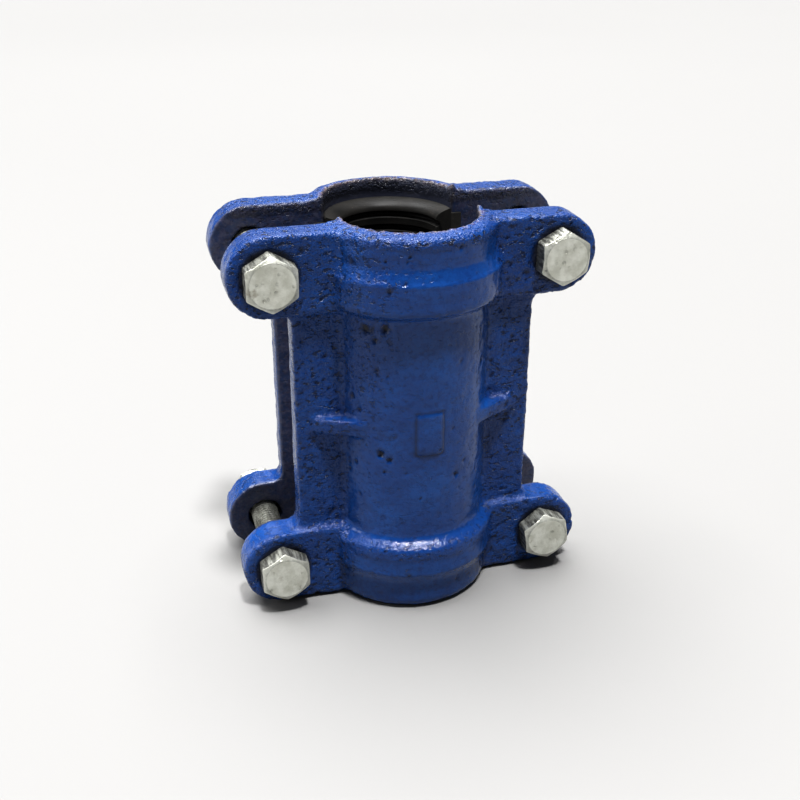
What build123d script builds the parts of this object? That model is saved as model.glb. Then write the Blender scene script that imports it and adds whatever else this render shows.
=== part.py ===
from build123d import *
import os

# Two-bolt-row repair clamp for a small steel pipe. Millimetres, +Z along the pipe.
# The origin is on the front half's bore axis, midway between its two ends.
# The front half is on the -Y side; the rear half is drawn back along +Y on loose nuts.

# ---- pipe and closed fit ----
pipe_diameter = 33.7
closed_gap = 3.0            # between the two iron parting faces when tightened
lip_gap = 0.5               # between the two rubber faces when tightened
rest_opening = 22.5         # how far the rear half stands back from closed

# ---- half shell: barrel and collars (radii about the bore axis, lengths along it) ----
half_length = 66.0
barrel_radius = 26.5
barrel_wall = 4.3           # also the wall at the mouths
bulge_rise = 4.1            # a collar's bulge stands out from the barrel by this much
lip_rise = 2.1              # and its lip by this much
mouth_depth = 6.2           # bare iron at each end, beyond the rubber
lip_length = 10.2           # straight lip at each end
bulge_fall_length = 4.6     # from the lip up to the full bulge
bulge_length = 9.4          # full bulge
bulge_rise_length = 2.4     # from the full bulge down to the barrel
lip_round = 3.2
bulge_round = 1.7
collar_hollow_round = 2.6

# ---- half shell: flange, ears, gussets, pad ----
flange_reach = 14.1         # the flange plate beyond the barrel, on each side
flange_thickness = 8.0
ear_thickness = 11.0
ear_radius = 13.3
ear_edge_round = 1.2
ear_corner_round = 3.5
bolt_reach = 6.8            # a bolt's axis beyond the flange plate's edge
bolt_end_distance = 13.9    # a bolt's axis in from the end
bolt_hole_clearance = 2.0   # over the thread's diameter
gusset_thickness = 5.4
gusset_inset = 2.2          # the gusset's foot ends inside the flange plate's edge by this much
gusset_height = 11.0        # above the flange, at its inner end
gusset_root_share = 0.6     # its inner end, as a share of the barrel's radius
gusset_sink = 1.0           # how far it runs down into the flange
pad_width = 8.5
pad_length = 14.0
pad_height = 0.7
pad_corner = 2.0
barrel_root_round = 2.4     # where the barrel meets the flange
collar_root_round = 2.0     # where a collar meets the ears
plate_end_inset = 2.0       # the flange plate ends inside the ears by this much

# ---- rubber half sleeve ----
seat_clearance = 0.05
bead_wall = 4.6             # iron left outside the rubber's end bead
bead_length = 9.0           # centred under the bulge
bead_slope = 2.2
plain_land_half = 15.0      # smooth band that bears on the leak
groove_pitch = 4.8
groove_width = 2.6
groove_depth = 1.5
last_rib_width = 2.0        # the ribs stop at least this far inside the rubber's end
end_slope = 1.6             # the rubber's end face falls by this much towards the bore
side_lip_width = 3.0        # rubber lying on the iron parting face

# ---- bolts, washers and nuts, M10 ----
thread_diameter = 10.0
thread_relief = 0.07        # radial, plain cylinder that stands for the thread crests
bolt_length = 65.0
across_flats = 16.0
head_height = 6.4
nut_height = 8.4
hex_chamfer = 0.5           # how far the corners are turned down, at the corner
tip_chamfer = 1.2
washer_bore_clearance = 0.5 # over the thread's diameter
washer_diameter = 20.0
washer_thickness = 2.0
thread_clearance = 0.05
turning_gap = 0.05          # between a face that turns and the one it bears on

# ---- worked out from the sizes above ----
parting_y = closed_gap / 2
rubber_parting_y = lip_gap / 2
ear_face_y = parting_y + ear_thickness
flange_face_y = parting_y + flange_thickness
bulge_radius = barrel_radius + bulge_rise
lip_radius = barrel_radius + lip_rise
lip_low_z = half_length - lip_length
bulge_high_z = lip_low_z - bulge_fall_length
bulge_low_z = bulge_high_z - bulge_length
bulge_foot_z = bulge_low_z - bulge_rise_length
flange_half_width = barrel_radius + flange_reach
gusset_foot_x = flange_half_width - gusset_inset
bolt_x = flange_half_width + bolt_reach
bolt_z = half_length - bolt_end_distance
ear_top_z = bolt_z + ear_radius
seat_radius = barrel_radius - barrel_wall
bead_radius = bulge_radius - bead_wall
bead_middle_z = (bulge_low_z + bulge_high_z) / 2
bead_low_z = bead_middle_z - bead_length / 2
bead_high_z = bead_middle_z + bead_length / 2
sleeve_half_length = half_length - mouth_depth
sleeve_bore_end_z = sleeve_half_length - seat_clearance - end_slope
groove_first_z = plain_land_half + groove_width / 2
groove_room = sleeve_bore_end_z - last_rib_width - groove_width / 2 - groove_first_z
groove_count = int(groove_room / groove_pitch) + 1
thread_radius = thread_diameter / 2 - thread_relief
bolt_hole_radius = (thread_diameter + bolt_hole_clearance) / 2
washer_bore_radius = (thread_diameter + washer_bore_clearance) / 2
rear_ear_y = rest_opening + ear_face_y
nut_face_y = rear_ear_y + washer_thickness + turning_gap

# Each bolt's side and row, and how its head and its nut happen to be turned, in degrees.
bolts = {
    "upper_left": (-1, 1, 0.0, 14.0),
    "upper_right": (1, 1, 2.0, -9.0),
    "lower_left": (-1, -1, -1.0, 22.0),
    "lower_right": (1, -1, -8.0, 5.0),
}

beyond = 400.0              # longer than the whole clamp, for cuts that run right through
tolerance = 0.01            # for telling which edges lie on a face
near = 0.5                  # for telling which edges are close to a radius or to the middle


def half_space():
    """Everything on the front side of the iron parting face."""
    return Pos(0, -parting_y - beyond / 2, 0) * Box(beyond, beyond, beyond)


def turned(points, rounds):
    """Revolve an outline of (radius, z) points about Z; rounds maps a point to its radius."""
    outline = make_face(Polyline(*points, close=True))
    for (radius, z), size in rounds.items():
        corner = outline.vertices().sort_by_distance(Vector(radius, z, 0))[0]
        outline = fillet(corner, size)
    face = Plane.XZ * outline
    return revolve(face, Axis.Z, 360)


def barrel_outside():
    half = [
        (barrel_radius, bulge_foot_z),
        (bulge_radius, bulge_low_z),
        (bulge_radius, bulge_high_z),
        (lip_radius, lip_low_z),
        (lip_radius, half_length),
    ]
    lower = [(radius, -z) for radius, z in reversed(half)]
    points = [(0, -half_length)] + lower + half + [(0, half_length)]
    rounds = {}
    for side in (-1, 1):
        rounds[(barrel_radius, side * bulge_foot_z)] = collar_hollow_round
        rounds[(bulge_radius, side * bulge_low_z)] = bulge_round
        rounds[(lip_radius, side * lip_low_z)] = bulge_round
        rounds[(lip_radius, side * half_length)] = lip_round
    return turned(points, rounds)


def seat_points(inset):
    """Outline of the rubber's seat from end to end, moved in towards the bore by inset."""
    radius = seat_radius - inset
    bead = bead_radius - inset
    half = [
        (radius, bead_low_z),
        (bead, bead_low_z + bead_slope),
        (bead, bead_high_z - bead_slope),
        (radius, bead_high_z),
        (radius, sleeve_half_length - inset),
    ]
    return [(r, -z) for r, z in reversed(half)] + half


def barrel_hollow():
    past_end = 2 * half_length
    top = [(seat_radius, past_end), (0, past_end)]
    bottom = [(0, -past_end), (seat_radius, -past_end)]
    return turned(bottom + seat_points(0) + top, {})


def ear(side, row):
    """One ear: a round end about the bolt and a straight arm running in to the collar."""
    end = Pos(side * bolt_x, row * bolt_z) * Circle(ear_radius)
    arm = Pos(side * bolt_x / 2, row * bolt_z) * Rectangle(bolt_x, 2 * ear_radius)
    body = extrude(Plane.XZ.offset(parting_y) * (end + arm), ear_thickness)
    rim = body.edges().filter_by_position(Axis.Y, -ear_face_y - tolerance, -ear_face_y + tolerance)
    rim = rim.filter_by(lambda edge: abs(edge.center().X) > near)
    return fillet(rim, ear_edge_round)


def flange():
    """The plate between the ears, with a rounded inside corner beside each ear."""
    plate = Rectangle(2 * flange_half_width, 2 * (ear_top_z - plate_end_inset))
    inner_edge_z = bolt_z - ear_radius
    blend = ear_corner_round
    for side in (-1, 1):
        for row in (-1, 1):
            corner = Pos(side * (flange_half_width + blend / 2), row * (inner_edge_z - blend / 2))
            hollow = Pos(side * (flange_half_width + blend), row * (inner_edge_z - blend))
            plate += corner * Rectangle(blend, blend) - hollow * Circle(blend)
    return extrude(Plane.XZ.offset(parting_y) * plate, flange_thickness)


def gusset(side):
    """A triangular web at mid-height between the flange and the barrel."""
    foot_y = -flange_face_y + gusset_sink
    inner_x = side * barrel_radius * gusset_root_share
    outline = Polyline(
        (side * gusset_foot_x, foot_y),
        (inner_x, foot_y),
        (inner_x, -flange_face_y - gusset_height),
        close=True,
    )
    return extrude(make_face(outline), gusset_thickness / 2, both=True)


def size_pad():
    """A plain raised pad in the middle of the barrel, where a size would be cast."""
    block = RectangleRounded(pad_width, pad_length, pad_corner)
    column = extrude(Plane.XZ * block, beyond)
    return column & Cylinder(barrel_radius + pad_height, beyond)


def half_shell():
    """The front iron half; the rear half is its mirror image."""
    shell = barrel_outside() & half_space()
    shell += flange()
    for side in (-1, 1):
        for row in (-1, 1):
            shell += ear(side, row)
    shell = round_collar_roots(shell)
    shell += rooted_barrel()
    for side in (-1, 1):
        shell += gusset(side)
    shell += size_pad() & half_space()
    shell -= barrel_hollow()
    drill = Cylinder(bolt_hole_radius, beyond, rotation=(90, 0, 0))
    for side in (-1, 1):
        for row in (-1, 1):
            shell -= Pos(side * bolt_x, 0, row * bolt_z) * drill
    return shell


def lies_at(edge, y):
    """True when the whole edge is on the plane at -y."""
    return all(abs((edge @ part).Y + y) < tolerance for part in (0, 0.5, 1))


def is_root(edge):
    """True when both ends of the edge are on the outside of the barrel or of a collar."""
    reach = max((edge @ end).X ** 2 + (edge @ end).Y ** 2 for end in (0, 1)) ** 0.5
    return reach < bulge_radius + near


def round_collar_roots(shell):
    """Round the inside corners where the collars stand on the ears, one corner of the shell at a time."""
    for side in (-1, 1):
        for row in (-1, 1):
            corner = [edge for edge in shell.edges() if is_root(edge) and lies_at(edge, ear_face_y)]
            corner = [edge for edge in corner if edge.center().X * side > 0 and edge.center().Z * row > 0]
            shell = fillet(corner, collar_root_round)
    return shell


def rooted_barrel():
    """The straight barrel between the collars with its roots rounded into the flange."""
    depth = flange_face_y - parting_y
    plate = Pos(0, -parting_y - depth / 2) * Rectangle(2 * barrel_radius + 4 * barrel_root_round, depth)
    section = Circle(barrel_radius) + plate
    section &= Pos(0, -parting_y - beyond / 2) * Rectangle(beyond, beyond)
    roots = section.vertices().filter_by(lambda corner: abs(corner.Y + flange_face_y) < tolerance)
    roots = [corner for corner in roots if abs(corner.X) < barrel_radius]
    return extrude(fillet(roots, barrel_root_round), bulge_foot_z - barrel_root_round, both=True)


def half_gasket():
    """The front rubber half sleeve: ribbed bore, end beads, and a lip along each side."""
    points = seat_points(seat_clearance)
    bore_radius = pipe_diameter / 2
    mouth = [(bore_radius, sleeve_bore_end_z), (0, sleeve_bore_end_z)]
    points = [(r, -z) for r, z in reversed(mouth)] + points + mouth
    sleeve = turned(points, {})
    lips = Box(2 * (seat_radius + side_lip_width), 2 * parting_y, 2 * sleeve_bore_end_z)
    lip_top = Pos(0, -rubber_parting_y - beyond / 2, 0) * Box(beyond, beyond, beyond)
    lip_bottom = Pos(0, -parting_y + seat_clearance + beyond / 2, 0) * Box(beyond, beyond, beyond)
    body = (sleeve & lip_top) + (lips & lip_top & lip_bottom)
    body -= Cylinder(bore_radius, 3 * half_length)
    ring = Cylinder(bore_radius + groove_depth, groove_width)
    for index in range(groove_count):
        z = groove_first_z + index * groove_pitch
        for side in (-1, 1):
            body -= Pos(0, 0, side * z) * ring
    return body


def hex_block(height, turn, both_ends):
    """A hexagon prism on Z from z = 0 up, its corners turned off at the top or at both ends."""
    outline = Rot(0, 0, 90 + turn) * RegularPolygon(across_flats / 2, 6, major_radius=False)
    prism = extrude(outline, height)
    face = across_flats / 2
    corner = across_flats / 3 ** 0.5
    rim = across_flats
    fall = hex_chamfer * (rim - face) / (corner - face)
    top = [(rim, height - fall), (face, height), (0, height)]
    bottom = [(0, 0), (face, 0), (rim, fall)] if both_ends else [(0, 0), (rim, 0)]
    return prism & turned(bottom + top, {})


def along_y(piece, side, row, y):
    """Lay a piece that was made along +Z on a bolt's axis, with its zero at y."""
    return Pos(side * bolt_x, y, row * bolt_z) * Rot(-90, 0, 0) * piece


def bolt(turn):
    """Hexagon screw threaded to its head; z = 0 is under the head, the tail points up."""
    head = Rot(180, 0, 0) * hex_block(head_height, turn, False)
    shank = Cylinder(thread_radius, bolt_length, align=(Align.CENTER, Align.CENTER, Align.MIN))
    shank = chamfer(shank.edges().sort_by(Axis.Z)[-1], tip_chamfer)
    return head + shank


def nut(turn):
    block = hex_block(nut_height, turn, True)
    return block - Cylinder(thread_radius + thread_clearance, 3 * nut_height)


def washer():
    disc = Cylinder(washer_diameter / 2, washer_thickness, align=(Align.CENTER, Align.CENTER, Align.MIN))
    return disc - Cylinder(washer_bore_radius, 3 * washer_thickness)


def to_rear(piece):
    """The rear half's copy of a front piece, drawn back to where it rests."""
    return Pos(0, rest_opening, 0) * mirror(piece, about=Plane.XZ)


def main():
    os.makedirs("parts", exist_ok=True)
    pieces = {"front_shell": half_shell(), "front_gasket": half_gasket()}
    pieces["rear_shell"] = to_rear(pieces["front_shell"])
    pieces["rear_gasket"] = to_rear(pieces["front_gasket"])
    for name, (side, row, head_turn, nut_turn) in bolts.items():
        pieces["bolt_" + name] = along_y(bolt(head_turn), side, row, -ear_face_y - turning_gap)
        pieces["washer_" + name] = along_y(washer(), side, row, rear_ear_y)
        pieces["nut_" + name] = along_y(nut(nut_turn), side, row, nut_face_y)
    for name, piece in pieces.items():
        export_step(piece, "parts/" + name + ".step")


main()
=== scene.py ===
import math
import random

import bmesh
import bpy
from bpy.props import FloatProperty, FloatVectorProperty, IntProperty, PointerProperty
from mathutils import Matrix, Vector, kdtree, noise


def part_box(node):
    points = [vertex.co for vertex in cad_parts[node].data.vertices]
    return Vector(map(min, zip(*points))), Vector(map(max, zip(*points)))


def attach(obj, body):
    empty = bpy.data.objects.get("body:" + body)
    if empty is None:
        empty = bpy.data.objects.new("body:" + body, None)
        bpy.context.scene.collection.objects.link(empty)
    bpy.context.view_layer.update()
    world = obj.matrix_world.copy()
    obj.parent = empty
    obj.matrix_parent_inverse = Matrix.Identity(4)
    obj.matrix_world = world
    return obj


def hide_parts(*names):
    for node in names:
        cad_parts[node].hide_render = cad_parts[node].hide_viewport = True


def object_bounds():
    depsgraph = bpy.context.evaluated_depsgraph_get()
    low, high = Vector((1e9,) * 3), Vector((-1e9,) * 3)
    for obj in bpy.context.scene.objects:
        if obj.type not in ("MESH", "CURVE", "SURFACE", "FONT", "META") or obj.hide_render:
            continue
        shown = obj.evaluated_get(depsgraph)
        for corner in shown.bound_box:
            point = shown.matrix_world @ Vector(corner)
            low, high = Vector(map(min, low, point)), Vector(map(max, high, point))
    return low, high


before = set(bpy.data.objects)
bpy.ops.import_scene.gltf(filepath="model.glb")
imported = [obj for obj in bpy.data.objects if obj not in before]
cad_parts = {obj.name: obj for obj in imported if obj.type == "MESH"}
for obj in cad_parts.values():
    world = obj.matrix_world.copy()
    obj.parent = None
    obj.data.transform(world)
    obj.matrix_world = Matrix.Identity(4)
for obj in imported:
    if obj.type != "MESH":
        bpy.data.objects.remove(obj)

# The finished look of a two-half pipe repair clamp, built round its frame.
# Lengths are metres and angles radians unless a name says otherwise.

bl_info = {
    "name": "Pipe repair clamp",
    "version": (1, 0, 0),
    "blender": (4, 5, 0),
    "location": "3D View > Sidebar > Clamp",
    "description": "Makes the castings, rubber, bolts, nuts and washers of a pipe repair clamp",
    "category": "Add Mesh",
}

CAD_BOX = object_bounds()
MM = 0.001
HEAD_FACE = 0.90                            # the round face of a head, as a share of its width
HEAD_FALL = math.tan(math.radians(30))      # how steeply its corners are turned down
CORNERS = ("upper_left", "upper_right", "lower_left", "lower_right")
# How far each hexagon is turned from point up, in degrees.
TURNS = {"bolt_upper_left": 0, "bolt_upper_right": 2, "bolt_lower_left": -1, "bolt_lower_right": -8,
         "nut_upper_left": 14, "nut_upper_right": -9, "nut_lower_left": 22, "nut_lower_right": 5}


# ---------------------------------------------------------------- sizes and colours

def length(name, description, default):
    return FloatProperty(name=name, description=description, default=default * MM, min=0,
                         subtype="DISTANCE", unit="LENGTH")


def colour(name, description, default):
    return FloatVectorProperty(name=name, description=description, default=default, size=3,
                               subtype="COLOR", min=0, max=1)


class ClampSizes(bpy.types.PropertyGroup):
    """Sizes of the detail modelled here; the overall sizes are the frame's."""

    mouth_radius: length("Mouth radius", "Radius of the iron wall at both ends", 22.2)
    ring_height: length("Ring line height", "Distance of the collars' ring line from the middle", 51.6)
    shoulder_height: length("Shoulder height", "Distance of the lower bulge's shoulder from the middle", 43)
    cast_cell: length("Casting mesh", "Edge length of the castings' skin", 0.8)
    cast_relief: length("Sand relief", "Height of the castings' unevenness", 0.26)
    pit_depth: length("Pit depth", "Depth of the deepest casting pits", 0.8)
    flash_height: length("Flash height", "Height of the burr round the mouths", 0.9)
    across_flats: length("Across flats", "Width of the bolt heads and nuts", 16)
    head_height: length("Head height", "Height of a bolt head", 6.4)
    thread_crest: length("Thread crest", "Outside radius of the bolts' thread", 4.93)
    nut_bore: length("Nut bore", "Radius of the hole in a nut", 4.98)
    washer_bore: length("Washer bore", "Radius of the hole in a washer", 5.25)
    thread_pitch: length("Thread pitch", "Travel of the thread in one turn", 1.5)
    thread_depth: length("Thread depth", "Height of the thread from root to crest", 0.85)
    thread_steps: IntProperty(name="Thread steps", description="Straight runs in one turn of the thread",
                              default=30, min=12, max=64)
    rubber_bore: length("Rubber bore", "Radius of the ribs' crests", 16.85)
    rubber_seat: length("Rubber seat", "Outside radius of the sleeve in the barrel", 22.15)
    rubber_bead: length("Rubber bead", "Outside radius of the bead under the bulge", 25.95)
    groove_pitch: length("Rib pitch", "Distance between the rubber's grooves", 4.8)
    groove_width: length("Groove width", "Width of the rubber's grooves", 2.6)
    groove_depth: length("Groove depth", "Depth of the rubber's grooves", 1.5)
    plain_land: length("Plain land", "Half length of the smooth middle band of the rubber", 15)


class ClampColours(bpy.types.PropertyGroup):
    """Colours of the finishes."""

    enamel: colour("Enamel", "Blue enamel on the castings", (0.006, 0.056, 0.225))
    # Deep enamel is the darker enamel tone in the mottling and the sand, and also the colour of the painted
    # shade in the hollows and on the rough outward faces.
    deep_enamel_and_shade: colour("Deep enamel", "Enamel where it lies thick", (0.004, 0.024, 0.120))
    pit: colour("Pits", "Bottom of the casting pits", (0.002, 0.003, 0.010))
    rust: colour("Rust", "Rust where the enamel is chipped", (0.115, 0.050, 0.026))
    primer: colour("Primer", "Thin dark paint in the mouths and on the parting faces",
                   (0.032, 0.036, 0.058))
    rubber: colour("Rubber", "Black rubber", (0.003, 0.003, 0.0032))
    zinc: colour("Zinc", "Zinc plating", (0.72, 0.73, 0.67))
    floor: colour("Floor", "Pale floor", (0.194, 0.1925, 0.190))


def sizes():
    return bpy.context.scene.clamp_sizes


def colours():
    return bpy.context.scene.clamp_colours


# ---------------------------------------------------------------- building a material

class Signal:
    """A socket in a material, with arithmetic that adds Math nodes."""

    def __init__(self, recipe, socket):
        self.recipe = recipe
        self.socket = socket

    def math(self, operation, *values):
        return self.recipe.node("ShaderNodeMath", {"operation": operation}, dict(enumerate(values)))

    def __add__(self, other):
        return self.math("ADD", self, other)

    def __sub__(self, other):
        return self.math("SUBTRACT", self, other)

    def __rsub__(self, other):
        return self.math("SUBTRACT", other, self)

    def __mul__(self, other):
        return self.math("MULTIPLY", self, other)

    def __truediv__(self, other):
        return self.math("DIVIDE", self, other)

    __radd__ = __add__
    __rmul__ = __mul__

    def step(self, start, end):
        """0 at start and 1 at end, smooth between; start may be the larger of the two."""
        ends = (start, end, 0.0, 1.0) if start < end else (end, start, 1.0, 0.0)
        names = ("From Min", "From Max", "To Min", "To Max")
        return self.recipe.node("ShaderNodeMapRange", {"interpolation_type": "SMOOTHSTEP"},
                                {"Value": self, **dict(zip(names, ends))})


class Recipe:
    """One material's nodes."""

    def __init__(self, name):
        self.material = bpy.data.materials.new(name)
        self.material.use_nodes = True
        self.tree = self.material.node_tree
        self.tree.nodes.clear()
        self.place = self.node("ShaderNodeTexCoord", out="Object")

    def node(self, kind, settings=None, values=None, out=0):
        """Add a node, set it up, then fill its sockets with numbers, colours or links."""
        made = self.tree.nodes.new(kind)
        for name, value in (settings or {}).items():
            setattr(made, name, value)
        for key, value in (values or {}).items():
            if isinstance(value, Signal):
                self.tree.links.new(value.socket, made.inputs[key])
            else:
                made.inputs[key].default_value = value
        return Signal(self, made.outputs[out]) if made.outputs else made

    def mapped(self, scale=(1, 1, 1), shift=(0, 0, 0)):
        return self.node("ShaderNodeMapping", None,
                         {"Vector": self.place, "Location": shift, "Scale": scale})

    def noise(self, size, detail=4.0, rough=0.55, stretch=(1, 1, 1), shift=(0, 0, 0)):
        """Fractal noise with features about size long, drawn out along an axis by stretch."""
        where = self.mapped(tuple(1 / (size * part) for part in stretch), shift)
        return self.node("ShaderNodeTexNoise", None,
                         {"Vector": where, "Scale": 1.0, "Detail": detail, "Roughness": rough})

    def cells(self, size, shift=(0, 0, 0)):
        """Distance to the nearest of many scattered points about size apart, in units of size."""
        return self.node("ShaderNodeTexVoronoi", None,
                         {"Vector": self.mapped((1 / size,) * 3, shift), "Scale": 1.0}, out="Distance")

    def attribute(self, name):
        return self.node("ShaderNodeAttribute", {"attribute_name": name}, out="Fac")

    def pointiness(self):
        return self.node("ShaderNodeNewGeometry", out="Pointiness")

    def mix(self, factor, first, second):
        """Blend two colours, either of which may be a link."""
        ends = [part if isinstance(part, Signal) else (*part, 1.0) for part in (first, second)]
        return self.node("ShaderNodeMix", {"data_type": "RGBA"}, {0: factor, 6: ends[0], 7: ends[1]}, out=2)

    def bump(self, height, depth, strength=1.0, under=None):
        values = {"Strength": strength, "Distance": depth, "Height": height}
        if under is not None:
            values["Normal"] = under
        return self.node("ShaderNodeBump", None, values)

    def finish(self, **sockets):
        """End in a Principled shader, whose socket names are written here with _ for a space."""
        values = {name.replace("_", " "): value for name, value in sockets.items()}
        shader = self.node("ShaderNodeBsdfPrincipled", None, values)
        self.node("ShaderNodeOutputMaterial", None, {"Surface": shader})
        return self.material


# ---------------------------------------------------------------- finishes

def enamelled_iron():
    """Glossy blue enamel over rough sand-cast iron, pitted, with chipped rusty spots."""
    r = Recipe("enamelled_iron")
    tone = colours()
    cloud = r.noise(16 * MM, 3, 0.5)
    sand = r.noise(1.5 * MM, 4, 0.6)
    patch = r.noise(20 * MM, 2, 0.5, shift=(3.1, 0.4, 1.7))
    coarse = r.attribute("coarse")
    deep = r.attribute("pit")
    bare_iron = r.attribute("bare")
    painted_shade = r.attribute("painted_shade")
    pricks = r.noise(1.5 * MM, 3, 0.5, stretch=(1.3, 1, 0.8), shift=(0.7, 2, 0.3)).step(0.56, 0.66) * coarse
    specks = r.noise(2.6 * MM, 4, 0.6, shift=(4, 1, 2)).step(0.66, 0.72) * patch.step(0.40, 0.60)
    chips = r.noise(5 * MM, 5, 0.65, shift=(5, 1, 2)).step(0.66, 0.70)
    crest = r.pointiness().step(0.52, 0.58)
    hollow = r.pointiness().step(0.492, 0.44)

    paint = r.mix(0.55 + cloud.step(0.35, 0.68) * 0.45, tone.deep_enamel_and_shade, tone.enamel)
    paint = r.mix(sand.step(0.55, 0.38) * 0.45, paint, tone.deep_enamel_and_shade)
    # Painted shade: where the sand is coarse, mostly on the outward faces of the flanges and ears, the
    # enamel is darkened.
    paint = r.mix(coarse * 0.40, paint, tone.deep_enamel_and_shade)
    # Painted highlight: a lighter blue on the crests where the sand stands high.
    paint = r.mix(crest * sand.step(0.45, 0.60) * 0.30, paint, (0.05, 0.12, 0.36))
    paint = r.mix(r.attribute("inner"), paint, tone.primer)
    # Painted shade: the enamel darkens in the hollows.
    paint = r.mix(hollow * 0.75, paint, tone.deep_enamel_and_shade)
    dark = deep.math("MAXIMUM", deep, pricks * 0.75)
    dark = dark.math("MAXIMUM", dark, specks * 0.8)
    # Painted shade round the heads and the pad darkens the enamel as the pits do.
    dark = dark.math("MAXIMUM", dark, painted_shade)
    paint = r.mix(dark, paint, tone.pit)
    rusty = chips * crest.math("MAXIMUM", crest, deep) * 0.8
    rusty = rusty.math("MAXIMUM", rusty, bare_iron * r.noise(2.2 * MM, 4, 0.7).step(0.42, 0.56))
    paint = r.mix(rusty, paint, r.mix(sand.step(0.4, 0.6), tone.rust, (0.24, 0.19, 0.15)))

    grit = r.noise(0.65 * MM, 2, 0.5, shift=(1.2, 0.1, 0.6))
    skin = r.bump(sand * (0.10 + coarse * coarse * 1.2) + grit * coarse * coarse * 0.55, 0.55 * MM, 1.0)
    skin = r.bump(1 - dark, 0.35 * MM, 0.8, skin)
    rough = 0.13 + cloud.step(0.3, 0.7) * 0.05 + dark * 0.25 + rusty * 0.35
    return r.finish(Base_Color=paint, Roughness=rough, Normal=skin, IOR=1.38)


def black_rubber():
    """Moulded black rubber with mould bloom and a little dust."""
    r = Recipe("black_rubber")
    bloom = r.noise(6 * MM, 4, 0.6)
    grain = r.noise(0.7 * MM, 4, 0.6)
    dust = r.cells(1.7 * MM).step(0.14, 0.04) * bloom.step(0.45, 0.6)
    crest = r.pointiness().step(0.51, 0.56)
    tint = r.mix(bloom.step(0.35, 0.7) * 0.6, colours().rubber, (0.012, 0.011, 0.010))
    tint = r.mix(crest * 0.25, tint, (0.04, 0.038, 0.034))
    tint = r.mix(dust * 0.5, tint, (0.12, 0.10, 0.085))
    rough = 0.42 + bloom.step(0.3, 0.7) * 0.12 + dust * 0.2
    return r.finish(Base_Color=tint, Roughness=rough, Normal=r.bump(grain, 0.06 * MM, 0.6), IOR=1.22)


def zinc_plate(name, wear):
    """Zinc plating, clouded, scuffed and knocked, with streaky painted shade on the head's flats; wear from
    0 to 1 adds stain and deepens the painted shade in the hollows.
    """
    r = Recipe(name)
    cloud = r.noise(4 * MM, 4, 0.6)
    scuff = r.noise(1.6 * MM, 5, 0.7, stretch=(1, 1, 2.5))
    dents = r.cells(2.6 * MM).step(0.30, 0.12) * cloud.step(0.45, 0.6)
    grain = r.noise(0.35 * MM, 3, 0.6)
    stain = r.noise(6 * MM, 4, 0.6, shift=(2, 5, 1)).step(0.66 - 0.14 * wear, 0.78 - 0.12 * wear)
    hollow = r.pointiness().step(0.49, 0.42)
    streak = r.noise(1.1 * MM, 4, 0.65, stretch=(1, 6, 1)).step(0.36, 0.62)
    tint = r.mix(cloud.step(0.3, 0.7) * 0.7 + 0.3 * wear, colours().zinc, (0.44, 0.445, 0.38))
    tint = r.mix(stain * (0.35 + 0.4 * wear), tint, (0.20, 0.165, 0.11))
    tint = r.mix(dents * 0.35, tint, (0.26, 0.26, 0.23))
    # Painted shade in the hollows, deeper on the worn finish.
    tint = r.mix(hollow * (0.4 + 0.4 * wear), tint, (0.05, 0.045, 0.035))
    # Painted shade on the head's flats, streaked, from the bolts' side mark.
    tint = r.mix(r.attribute("side") * (0.45 + streak * 0.5), tint, (0.045, 0.045, 0.04))
    rough = 0.30 + scuff.step(0.3, 0.7) * 0.20 + stain * 0.15 + r.attribute("side") * 0.12
    skin = r.bump(scuff + grain * 0.4, 0.26 * MM, 0.9)
    skin = r.bump(1 - dents, 0.30 * MM, 0.8, skin)
    return r.finish(Base_Color=tint, Roughness=rough, Metallic=0.75, Normal=skin)


def pale_floor():
    """Plain matt card."""
    r = Recipe("pale_floor")
    tone = Vector(colours().floor)
    shade = r.mix(r.noise(0.4, 2, 0.5), tone, tone * 0.985)
    return r.finish(Base_Color=shade, Roughness=0.9, Specular_IOR_Level=0.2)


# ---------------------------------------------------------------- shaping helpers

def as_piece(shape, name, body, material, node, sharp_degrees=35, marks=None):
    """Close a bmesh into an object that rides on a body and stands for a node of the frame."""
    mesh = bpy.data.meshes.new(name)
    shape.to_mesh(mesh)
    shape.free()
    mesh.shade_smooth()
    mesh.set_sharp_from_angle(angle=math.radians(sharp_degrees))
    mesh.materials.clear()
    mesh.materials.append(material)
    for mark, values in (marks or {}).items():
        mesh.attributes.new(mark, "FLOAT", "POINT").data.foreach_set("value", values)
    piece = bpy.data.objects.new(name, mesh)
    bpy.context.scene.collection.objects.link(piece)
    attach(piece, body)
    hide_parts(node)
    return piece


def outline(shape, points, closed=True):
    """Draw (radius, z) points as edges in the plane y = 0."""
    corners = [shape.verts.new((radius, 0, z)) for radius, z in points]
    following = corners[1:] + corners[:1] if closed else corners[1:]
    edges = [shape.edges.new(pair) for pair in zip(corners, following)]
    return corners, edges


def lay_along_y(shape, node_centre, start_y):
    """Turn a shape made up along +Z so that it lies along +Y through node_centre, starting at start_y."""
    start = Matrix.Translation((node_centre.x, start_y, node_centre.z))
    place = start @ Matrix.Rotation(-math.pi / 2, 4, "X")
    bmesh.ops.transform(shape, matrix=place, verts=shape.verts)


def middle(box):
    return (box[0] + box[1]) / 2


def grow_ring(shape, loop, radius_of, height_of):
    """Extrude a loop of edges and put each new corner at its own radius and height."""
    made = bmesh.ops.extrude_edge_only(shape, edges=loop)["geom"]
    for corner in (item for item in made if isinstance(item, bmesh.types.BMVert)):
        angle = math.atan2(corner.co.y, corner.co.x)
        radius = radius_of(angle)
        corner.co = (radius * math.cos(angle), radius * math.sin(angle), height_of(radius))
    return [item for item in made if isinstance(item, bmesh.types.BMEdge)]


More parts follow.
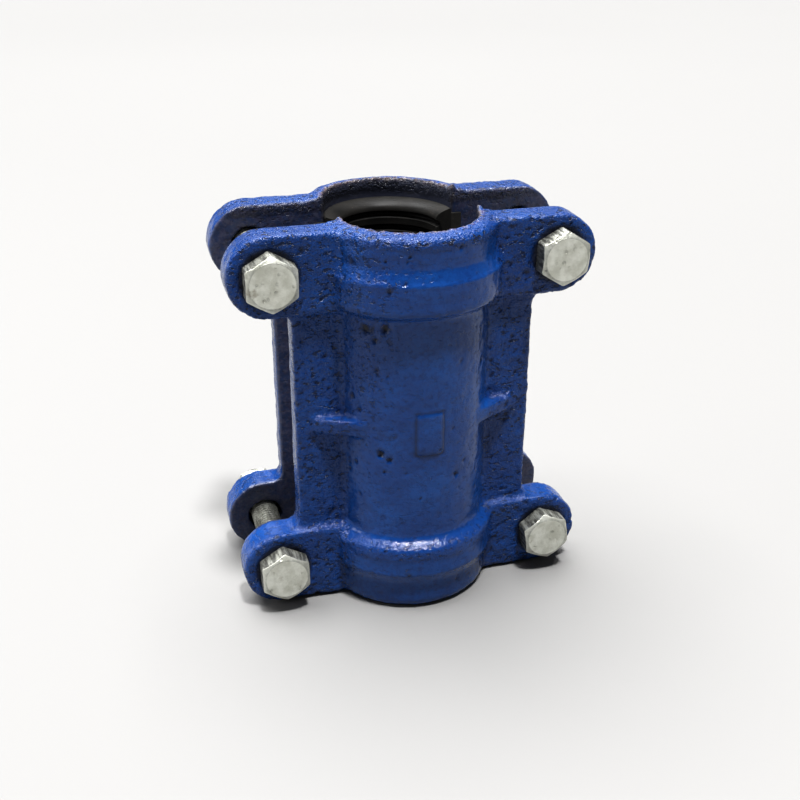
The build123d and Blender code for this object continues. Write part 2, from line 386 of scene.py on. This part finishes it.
def hexagon(shape, height, turn, hole=0.0, both_ends=False, segments=144):
    """A hexagon from z = 0 up to height, its corners turned off at one end or both, perhaps drilled."""
    half = sizes().across_flats / 2
    face = half * HEAD_FACE
    fall = HEAD_FALL
    ease = 0.35 * MM
    sixth = math.pi / 3

    def side(angle):
        from_flat = (angle - turn) % sixth - sixth / 2
        return min(half / math.cos(from_flat), half / math.cos(sixth / 2) * 0.985)

    def side_eased(angle):
        return side(angle) - 0.12 * MM

    def upper(radius):
        return height - max(0.0, radius - face) * fall

    def lower(radius):
        return max(0.0, radius - face) * fall if both_ends else 0.0

    rings = [
        (lambda angle: face * 0.6, lambda radius: 0.0),
        (lambda angle: face, lambda radius: 0.0),
        (side_eased, lower),
        (side, lambda radius: lower(radius) + 0.15 * MM),
        (side, lambda radius: upper(radius) - 0.15 * MM),
        (side_eased, upper),
        (lambda angle: face, lambda radius: height),
        (lambda angle: face * 0.96, lambda radius: height),
        (lambda angle: face * 0.6, lambda radius: height),
    ]
    if hole:
        rings[0] = (lambda angle: hole + ease * 2, lambda radius: 0.0)
        rings[-2:] = [(lambda angle: hole + ease * 2, lambda radius: height),
                      (lambda angle: hole, lambda radius: height - ease * 2)]
        rings.append((lambda angle: hole, lambda radius: ease * 2))
    start = hole or face * 0.3
    corners = bmesh.ops.create_circle(shape, cap_ends=not hole, radius=start, segments=segments)["verts"]
    for corner in corners:
        corner.co.z = ease * 2 if hole else 0.0
    loop = list({edge for corner in corners for edge in corner.link_edges})
    for radius_of, height_of in rings:
        loop = grow_ring(shape, loop, radius_of, height_of)
    if not hole:
        bmesh.ops.holes_fill(shape, edges=loop, sides=0)
    bmesh.ops.remove_doubles(shape, verts=shape.verts, dist=0.002 * MM)
    bmesh.ops.recalc_face_normals(shape, faces=shape.faces)


# ---------------------------------------------------------------- castings

def bore_y(front):
    """Where a half's bore axis lies along Y; the front half's is the origin."""
    if front:
        return 0.0
    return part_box("rear_shell")[1].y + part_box("front_shell")[0].y


def sand_relief(place):
    """Unevenness of a sand-cast skin at a place, about -1 to 1."""
    at = place / (3.6 * MM)
    return noise.noise(at * 0.22) * 0.7 + noise.fractal(at, 0.8, 2.1, 3) * 0.8


def smooth(value, start, end):
    """0 at start and 1 at end, smooth between."""
    share = min(1.0, max(0.0, (value - start) / (end - start)))
    return share * share * (3 - 2 * share)


def even_skin(node):
    """The frame's shell as an even, slightly softened mesh."""
    work = bpy.data.objects.new(node + "_work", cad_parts[node].data.copy())
    bpy.context.scene.collection.objects.link(work)
    merged = bmesh.new()
    merged.from_mesh(work.data)
    bmesh.ops.remove_doubles(merged, verts=merged.verts, dist=0.001 * MM)
    merged.to_mesh(work.data)
    merged.free()
    remesh = work.modifiers.new("skin", "REMESH")
    remesh.mode = "VOXEL"
    remesh.voxel_size = sizes().cast_cell
    graph = bpy.context.evaluated_depsgraph_get()
    skin = bpy.data.meshes.new_from_object(work.evaluated_get(graph))
    bpy.data.objects.remove(work)
    shape = bmesh.new()
    shape.from_mesh(skin)
    bpy.data.meshes.remove(skin)
    bmesh.ops.smooth_vert(shape, verts=shape.verts, factor=0.5, use_axis_x=True, use_axis_y=True,
                          use_axis_z=True)
    shape.normal_update()
    shape.verts.ensure_lookup_table()
    return shape


def coarseness(place, outward):
    """How rough the sand left the skin: most on the flange and the ears, least on the barrel's front."""
    side = smooth(abs(place.x), 22 * MM, 27 * MM)
    left = smooth(-place.x, -4 * MM, 22 * MM) * smooth(place.z, -30 * MM, 20 * MM)
    return max(side, left * 0.8, 0.25) * (0.4 + 0.6 * outward)


# The big pits on the front of the barrel: across, up and radius, in millimetres.
BARREL_PITS = ((-19.5, 35.5, 2.3), (-14.0, 36.5, 1.9), (-17.0, 32.5, 1.2), (20.5, 20.0, 1.3),
               (-21.5, 7.0, 1.1), (-15.5, -7.5, 1.6), (-13.0, -9.5, 1.2), (10.0, -17.0, 1.2))


def pitted(shape, front, seed):
    """Press round pits into the outside and return how deep each corner lies, 0 to 1."""
    rng = random.Random(seed)
    tree = kdtree.KDTree(len(shape.verts))
    for corner in shape.verts:
        tree.insert(corner.co, corner.index)
    tree.balance()
    outward = -1 if front else 1
    sunk = [0.0] * len(shape.verts)
    shape.verts.ensure_lookup_table()
    spots = []
    while len(spots) < 260:
        corner = shape.verts[rng.randrange(len(shape.verts))]
        if corner.normal.y * outward < 0.15:
            continue
        if rng.random() > coarseness(corner.co, 1.0) ** 1.5:
            continue
        spots.append((corner.co.copy(), (0.55 + 1.0 * rng.random() ** 3) * MM, 0.35 + 0.5 * rng.random()))
    if front:
        for x, z, wide in BARREL_PITS:
            near = tree.find(Vector((x, -math.sqrt(27.0 ** 2 - x ** 2), z)) * MM)[0]
            spots.append((near.copy(), wide * MM, 1.0))
    for place, wide, deep in spots:
        for _, index, distance in tree.find_range(place, wide):
            uneven = distance * (1 + 0.5 * noise.noise(shape.verts[index].co / (0.9 * MM)))
            share = (1 - smooth(uneven, wide * 0.25, wide)) * deep
            sunk[index] = max(sunk[index], share)
    return sunk


class Half:
    """Where one half's faces and axis lie."""

    def __init__(self, node, front):
        low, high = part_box(node)
        self.front = front
        self.outward = -1 if front else 1
        self.axis_y = bore_y(front)
        self.parting_y = high.y if front else low.y
        self.top = high.z
        bolt_middle = middle(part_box("bolt_upper_left"))
        self.bolt_x, self.bolt_z = abs(bolt_middle.x), abs(bolt_middle.z)


class SkinPoint:
    """What the skin is like at one of its corners."""

    def __init__(self, corner, half):
        self.place, self.face = corner.co, corner.normal
        self.from_parting = abs(self.place.y - half.parting_y)
        self.from_end = half.top - abs(self.place.z)
        from_axis = Vector((self.place.x, self.place.y - half.axis_y, 0))
        self.radius = from_axis.length
        self.inside = self.radius < sizes().mouth_radius + 0.8 * MM and self.face.dot(from_axis) < 0
        self.outer = smooth(self.face.y * half.outward, -0.2, 0.5)
        self.rough = coarseness(self.place, self.outer)
        self.burr = (1 - smooth(self.from_end, 0.1 * MM, 1.3 * MM)) * self.round_mouth()

    def round_mouth(self):
        """1 on the iron wall round a mouth, 0 away from it."""
        wall_middle = sizes().mouth_radius + 0.8 * MM
        return 1 - smooth(abs(self.radius - wall_middle), 0.4 * MM, 1.6 * MM)

    def ring_line(self):
        """1 on the thin raised line round a collar."""
        if self.radius < 28 * MM or abs(self.place.x) > 31 * MM:
            return 0.0
        return 1 - min(1.0, abs(abs(self.place.z) - sizes().ring_height) / (0.9 * MM))

    def lift(self, sunk):
        """How far the sand, a pit and the ring line move the skin along its normal."""
        lift = sand_relief(self.place) * sizes().cast_relief * (0.5 + self.rough)
        lift -= sunk * sizes().pit_depth
        if self.inside:
            lift = min(lift, 0.0) * 0.4
        lift += self.ring_line() * 0.28 * MM
        near_edge = abs(self.face.y) < 0.5
        return lift * (smooth(self.from_parting, 0.2 * MM, 1.4 * MM) if near_edge else 1.0)

    def flash_rise(self):
        """How far the ragged flash stands above the upper mouth, with a horn at each parting corner."""
        ragged = max(0.0, noise.fractal(self.place / (1.7 * MM), 1.0, 2.0, 3) * 0.7 + 0.55)
        horn = 1 - smooth(self.from_parting, 0.3 * MM, 3.2 * MM)
        rise = self.burr * sizes().flash_height * (ragged * 0.8 + horn * (1.5 if self.place.x > 0 else 0.7))
        return rise * smooth(self.place.z, 0, 40 * MM)

    def coarse_mark(self):
        """Coarse sand also shows on the upper mouth, the barrel's inside corners and the lower shoulder."""
        x, z = self.place.x, self.place.z
        near_mouth = (1 - smooth(self.from_end, 2.0 * MM, 6.5 * MM)) * smooth(z, 0, 20 * MM)
        near_corner = (1 - smooth(abs(abs(x) - 26 * MM), 1 * MM, 4 * MM)) * self.outer
        near_shoulder = (1 - smooth(abs(z + sizes().shoulder_height), 1.5 * MM, 5 * MM)) * self.outer
        return max(self.rough, 1.1 * near_mouth, 0.8 * near_corner, 0.75 * near_shoulder)

    def bare_mark(self):
        """Bare iron shows on the flash and a little along the parting edge."""
        return max(self.burr * 0.4, (1 - smooth(self.from_parting, 0.1 * MM, 0.8 * MM)) * 0.12)

    def painted_shade_mark(self, half):
        """Painted shade: a dark ring round each head and a dark outline round the front half's pad."""
        x, z = abs(self.place.x), abs(self.place.z)
        from_bolt = math.hypot(x - half.bolt_x, z - half.bolt_z)
        # Painted shade in a ring round each head.
        under_head = (1 - smooth(from_bolt, 9.0 * MM, 10.4 * MM)) * 0.95
        # Painted shade as a line round the pad's edge.
        past_pad = max(x - 3.6 * MM, z - 6.4 * MM)
        round_pad = half.front and self.outer > 0.5
        pad_rim = (1 - smooth(abs(past_pad - 1.1 * MM), 0.1 * MM, 0.8 * MM)) if round_pad else 0.0
        return max(under_head, pad_rim * 0.6) * self.outer

    def inner_mark(self):
        """Primer shows on the mouths' walls beyond the rubber and on the parting face."""
        wall = smooth(abs(self.place.z), 57 * MM, 58 * MM) if self.inside else 0.0
        return max(wall, 0.75 * (1 - smooth(self.from_parting, 0.3 * MM, 1.0 * MM)))


def casting(name, node, body, front, material, seed):
    """One iron half: its frame shape with an even skin, sand relief, pits, ring lines and ragged mouths."""
    shape = even_skin(node)
    half = Half(node, front)
    sunk = pitted(shape, front, seed)
    points = [SkinPoint(corner, half) for corner in shape.verts]
    marks = {
        "pit": sunk,
        "coarse": [point.coarse_mark() for point in points],
        "bare": [point.bare_mark() for point in points],
        "painted_shade": [point.painted_shade_mark(half) for point in points],
        "inner": [point.inner_mark() for point in points],
    }
    moves = [point.face * point.lift(pit) + Vector((0, 0, point.flash_rise()))
             for point, pit in zip(points, sunk)]
    for corner, move in zip(shape.verts, moves):
        corner.co += move
    return as_piece(shape, name, body, material, node, 70, marks)


class CLAMP_OT_castings(bpy.types.Operator):
    """Make both iron half shells"""

    bl_idname = "clamp.castings"
    bl_label = "Castings"

    def execute(self, context):
        enamel = enamelled_iron()
        casting("front_casting", "front_shell", "front_half", True, enamel, 11)
        casting("rear_casting", "rear_shell", "rear_half", False, enamel, 23)
        return {"FINISHED"}


# ---------------------------------------------------------------- rubber

def rubber_outline(node):
    """(radius, z) points of the half sleeve's wall in order, with rounded ribs on the bore side."""
    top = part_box(node)[1].z
    s = sizes()
    bore, seat, bead = s.rubber_bore, s.rubber_seat, s.rubber_bead
    end_z = top - 1.6 * MM
    upper = [(bore + 2.4 * MM, end_z + 0.7 * MM), (bore + 0.7 * MM, end_z - 0.3 * MM),
             (bore, end_z - 1.3 * MM)]
    groove_z = s.plain_land + s.groove_width / 2
    grooves = []
    while groove_z < end_z - 3 * MM:
        grooves.append(groove_z)
        groove_z += s.groove_pitch
    bore_side = []
    for sign in (1, -1):
        run = []
        for z in sorted(grooves, reverse=True):
            for step in range(7):
                share = step / 6
                fall = math.sin(math.pi * share) ** 0.7 if 0 < step < 6 else 0.0
                run.append((bore + s.groove_depth * fall, sign * (z + s.groove_width * (0.5 - share))))
            run.append((bore, sign * (z - s.groove_width / 2 - 0.4 * MM)))
        bore_side += run if sign > 0 else list(reversed(run))
    lower = [(bore, -end_z + 0.5 * MM), (bore + 0.5 * MM, -end_z - 0.15 * MM)]
    outer_up = [(seat - 0.4 * MM, -top + 0.02 * MM), (seat, -top + 0.4 * MM), (seat, -51 * MM),
                (bead, -48.8 * MM), (bead, -44.2 * MM), (seat, -42 * MM),
                (seat, 42 * MM), (bead, 44.2 * MM), (bead, 48.8 * MM), (seat, 51 * MM),
                (seat, top - 0.4 * MM), (seat - 0.4 * MM, top - 0.02 * MM)]
    return upper + bore_side + lower + outer_up


def half_sleeve(name, node, body, front, material):
    """One rubber half: its wall spun through the half turn, with a lip along each parting edge."""
    low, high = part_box(node)
    shape = bmesh.new()
    corners, edges = outline(shape, rubber_outline(node))
    rubber_face = high.y if front else low.y
    axis_y = bore_y(front)
    bmesh.ops.spin(shape, geom=corners + edges, cent=(0, 0, 0), axis=(0, 0, 1), angle=math.pi,
                   steps=72, use_merge=False)
    loose = [edge for edge in shape.edges if edge.is_boundary]
    bmesh.ops.holes_fill(shape, edges=loose, sides=0)
    turn = -math.pi / 2 - math.pi / 2 if front else 0.0
    bmesh.ops.rotate(shape, verts=shape.verts, cent=(0, 0, 0), matrix=Matrix.Rotation(turn, 3, "Z"))
    bmesh.ops.translate(shape, verts=shape.verts, vec=(0, axis_y, 0))
    gap = abs(rubber_face - axis_y)
    sign = -1 if front else 1
    for corner in shape.verts:
        if (corner.co.y - axis_y) * sign < gap:
            corner.co.y = rubber_face
    lip_width = high.x - 22 * MM
    for side in (-1, 1):
        block = bmesh.ops.create_cube(shape, size=1)["verts"]
        depth = 1.5 * MM - gap - 0.05 * MM
        size = Matrix.Diagonal((lip_width, depth, 2 * (high.z - 1.7 * MM), 1))
        centre = Matrix.Translation((side * (high.x - lip_width / 2), rubber_face + sign * depth / 2, 0))
        bmesh.ops.transform(shape, matrix=centre @ size, verts=block)
        rims = list({edge for corner in block for edge in corner.link_edges})
        bmesh.ops.bevel(shape, geom=rims, affect="EDGES", offset=0.3 * MM, segments=2, profile=0.5,
                        material=-1)
    bmesh.ops.recalc_face_normals(shape, faces=shape.faces)
    return as_piece(shape, name, body, material, node, 40)


class CLAMP_OT_rubber(bpy.types.Operator):
    """Make both ribbed rubber half sleeves"""

    bl_idname = "clamp.rubber"
    bl_label = "Rubber sleeves"

    def execute(self, context):
        rubber = black_rubber()
        half_sleeve("front_rubber", "front_gasket", "front_half", True, rubber)
        half_sleeve("rear_rubber", "rear_gasket", "rear_half", False, rubber)
        return {"FINISHED"}


# ---------------------------------------------------------------- bolts, nuts and washers

def thread(shape, crest, length):
    """A right-hand thread along +Z from z = 0 to length, its far end chamfered and closed."""
    s = sizes()
    pitch = s.thread_pitch
    root = crest - s.thread_depth
    start_z = -2 * pitch
    turns = int(length / pitch) + 4
    tooth = [(root, start_z), (root, start_z + pitch * 0.12), (crest, start_z + pitch * 0.47),
             (crest, start_z + pitch * 0.65), (root, start_z + pitch)]
    corners, edges = outline(shape, tooth, closed=False)
    bmesh.ops.spin(shape, geom=corners + edges, cent=(0, 0, 0), axis=(0, 0, 1), angle=2 * math.pi * turns,
                   steps=s.thread_steps * turns, dvec=(0, 0, pitch / s.thread_steps), use_merge=False)
    bmesh.ops.remove_doubles(shape, verts=shape.verts, dist=0.01 * MM)
    for height, up in ((0.0, False), (length, True)):
        geometry = shape.verts[:] + shape.edges[:] + shape.faces[:]
        bmesh.ops.bisect_plane(shape, geom=geometry, dist=0.001 * MM, plane_co=(0, 0, height),
                               plane_no=(0, 0, 1), clear_outer=up, clear_inner=not up)
    for corner in shape.verts:
        radius = math.hypot(corner.co.x, corner.co.y)
        limit = crest - max(0.0, corner.co.z - (length - 1.3 * MM))
        if radius > limit:
            corner.co.x *= limit / radius
            corner.co.y *= limit / radius
    loose = [edge for edge in shape.edges if edge.is_boundary]
    bmesh.ops.holes_fill(shape, edges=loose, sides=0)


def painted_bolt_shade(place):
    """How dark a bolt is at a place: painted shade, darkest on the head's flats and half as dark on the
    line round its face; pale on the face itself, grey on the thread.
    """
    s = sizes()
    past_face = math.hypot(place.x, place.y) - s.across_flats / 2 * HEAD_FACE
    chamfer_z = max(0.0, past_face) * HEAD_FALL - s.head_height
    if place.z > 0:
        return 0.8
    if place.z < -0.1 * MM and place.z > chamfer_z + 0.1 * MM:
        return 1.0
    return 0.5 if abs(past_face) < 0.02 * MM else 0.0


def bolt(corner_name, material):
    """A hexagon screw along +Y, its thread as long as its shank."""
    node = "bolt_" + corner_name
    low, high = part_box(node)
    s = sizes()
    shape = bmesh.new()
    thread(shape, s.thread_crest, high.y - low.y - s.head_height)
    head = bmesh.new()
    hexagon(head, s.head_height, -math.radians(TURNS[node]) + math.pi / 2)
    bmesh.ops.rotate(head, verts=head.verts, cent=(0, 0, 0), matrix=Matrix.Rotation(math.pi, 3, "X"))
    joined = bpy.data.meshes.new("head_only")
    head.to_mesh(joined)
    head.free()
    shape.from_mesh(joined)
    bpy.data.meshes.remove(joined)
    bmesh.ops.recalc_face_normals(shape, faces=shape.faces)
    marks = {"side": [painted_bolt_shade(corner.co) for corner in shape.verts]}
    lay_along_y(shape, middle((low, high)), low.y + s.head_height)
    return as_piece(shape, "screw_" + corner_name, node, material, node, 16, marks)


def nut(corner_name, material):
    """A hexagon nut, its corners turned down at both ends."""
    node = "nut_" + corner_name
    low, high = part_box(node)
    shape = bmesh.new()
    hexagon(shape, high.y - low.y, math.radians(TURNS[node]) + math.pi / 2, hole=sizes().nut_bore,
            both_ends=True)
    lay_along_y(shape, middle((low, high)), low.y)
    return as_piece(shape, "hex_nut_" + corner_name, node, material, node, 16)


def washer(corner_name, material):
    """A punched flat washer, which stays against the rear half."""
    node = "washer_" + corner_name
    low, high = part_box(node)
    thick = high.y - low.y
    outer = (high.x - low.x) / 2
    inner = sizes().washer_bore
    ease = 0.3 * MM
    shape = bmesh.new()
    ring = [(inner + ease, 0), (outer - ease * 0.6, 0), (outer, ease), (outer, thick - ease * 1.4),
            (outer - ease * 1.4, thick), (inner + ease, thick), (inner, thick - ease), (inner, ease)]
    corners, edges = outline(shape, ring)
    bmesh.ops.spin(shape, geom=corners + edges, cent=(0, 0, 0), axis=(0, 0, 1), angle=2 * math.pi,
                   steps=72, use_merge=True)
    bmesh.ops.remove_doubles(shape, verts=shape.verts, dist=0.002 * MM)
    bmesh.ops.recalc_face_normals(shape, faces=shape.faces)
    lay_along_y(shape, middle((low, high)), low.y)
    return as_piece(shape, "plain_washer_" + corner_name, "rear_half", material, node, 16)


class CLAMP_OT_fasteners(bpy.types.Operator):
    """Make the four bolts with their nuts and washers"""

    bl_idname = "clamp.fasteners"
    bl_label = "Bolts, nuts and washers"

    def execute(self, context):
        bright = zinc_plate("bright_zinc", 0.35)
        worn = zinc_plate("worn_zinc", 1.0)
        for corner_name in CORNERS:
            bolt(corner_name, bright)
            nut(corner_name, worn)
            washer(corner_name, bright)
        return {"FINISHED"}


# ---------------------------------------------------------------- stage

class CLAMP_OT_stage(bpy.types.Operator):
    """Lay the floor, light it and place the camera"""

    bl_idname = "clamp.stage"
    bl_label = "Stage"

    def execute(self, context):
        lay_floor()
        light_studio()
        place_camera()
        return {"FINISHED"}


def lay_floor():
    plane = bmesh.new()
    bmesh.ops.create_grid(plane, x_segments=4, y_segments=4, size=8.0)
    bmesh.ops.translate(plane, verts=plane.verts, vec=(0, 0, CAD_BOX[0].z - 0.3 * MM))
    mesh = bpy.data.meshes.new("floor")
    plane.to_mesh(mesh)
    plane.free()
    mesh.materials.append(pale_floor())
    floor = bpy.data.objects.new("floor", mesh)
    bpy.context.scene.collection.objects.link(floor)


def light_studio():
    world = bpy.data.worlds.new("studio")
    world.use_nodes = True
    background = world.node_tree.nodes["Background"]
    background.inputs["Color"].default_value = (1.0, 0.995, 0.985, 1)
    background.inputs["Strength"].default_value = 0.15
    bpy.context.scene.world = world
    far_light("ceiling", (-0.10, 0.30, 1.0), 9.4, 55)
    far_light("ceiling_lamp", (0.05, -0.24, 1.0), 5.4, 7)
    softbox("rear_softbox", (0.25, 1.25, 0.70), (0, 0, 0.03), 0.8, 1.3)
    softbox("left_softbox", (-0.80, 0.10, 0.28), (0, 0, 0), 0.35, 2.4)


def far_light(name, towards, strength, wide_degrees):
    """Even light from one direction, as broad in the sky as wide_degrees."""
    light = bpy.data.lights.new(name, "SUN")
    light.energy = strength
    light.angle = math.radians(wide_degrees)
    lamp = bpy.data.objects.new(name, light)
    lamp.rotation_euler = Vector(towards).to_track_quat("Z", "Y").to_euler()
    bpy.context.scene.collection.objects.link(lamp)


def softbox(name, place, aim, size, power):
    light = bpy.data.lights.new(name, "AREA")
    light.shape = "SQUARE"
    light.size = size
    light.energy = power
    lamp = bpy.data.objects.new(name, light)
    lamp.location = place
    lamp.rotation_euler = (Vector(aim) - Vector(place)).to_track_quat("-Z", "Y").to_euler()
    bpy.context.scene.collection.objects.link(lamp)


def place_camera():
    azimuth, elevation, roll = (math.radians(angle) for angle in (-16.28, 25.53, 0.26))
    aim = Vector((-4.7, -7.7, 4.3)) * MM
    back = Vector((math.sin(azimuth) * math.cos(elevation), -math.cos(azimuth) * math.cos(elevation),
                   math.sin(elevation)))
    data = bpy.data.cameras.new("camera")
    data.lens = 48.45
    data.sensor_width = 36.0
    camera = bpy.data.objects.new("camera", data)
    bpy.context.scene.collection.objects.link(camera)
    turned = (-back).to_track_quat("-Z", "Y").to_matrix() @ Matrix.Rotation(roll, 3, "Z")
    camera.matrix_world = Matrix.Translation(aim + back * 0.36) @ turned.to_4x4()
    bpy.context.scene.camera = camera
    bpy.context.scene.view_settings.view_transform = "Standard"
    bpy.context.scene.view_settings.gamma = 0.88


# ---------------------------------------------------------------- add-on

class CLAMP_PT_panel(bpy.types.Panel):
    """Lists the clamp's operators, sizes and colours"""

    bl_idname = "CLAMP_PT_panel"
    bl_label = "Pipe repair clamp"
    bl_space_type = "VIEW_3D"
    bl_region_type = "UI"
    bl_category = "Clamp"

    def draw(self, context):
        for operator in STEPS:
            self.layout.operator(operator.bl_idname)
        for group in (context.scene.clamp_sizes, context.scene.clamp_colours):
            box = self.layout.box()
            for name in group.__annotations__:
                box.prop(group, name)


STEPS = (CLAMP_OT_stage, CLAMP_OT_castings, CLAMP_OT_rubber, CLAMP_OT_fasteners)
CLASSES = (ClampSizes, ClampColours, *STEPS, CLAMP_PT_panel)


def register():
    for item in CLASSES:
        bpy.utils.register_class(item)
    bpy.types.Scene.clamp_sizes = PointerProperty(type=ClampSizes)
    bpy.types.Scene.clamp_colours = PointerProperty(type=ClampColours)


def unregister():
    del bpy.types.Scene.clamp_colours
    del bpy.types.Scene.clamp_sizes
    for item in reversed(CLASSES):
        bpy.utils.unregister_class(item)


def main():
    register()
    bpy.ops.clamp.stage()
    bpy.ops.clamp.castings()
    bpy.ops.clamp.rubber()
    bpy.ops.clamp.fasteners()


if __name__ == "__main__":
    main()
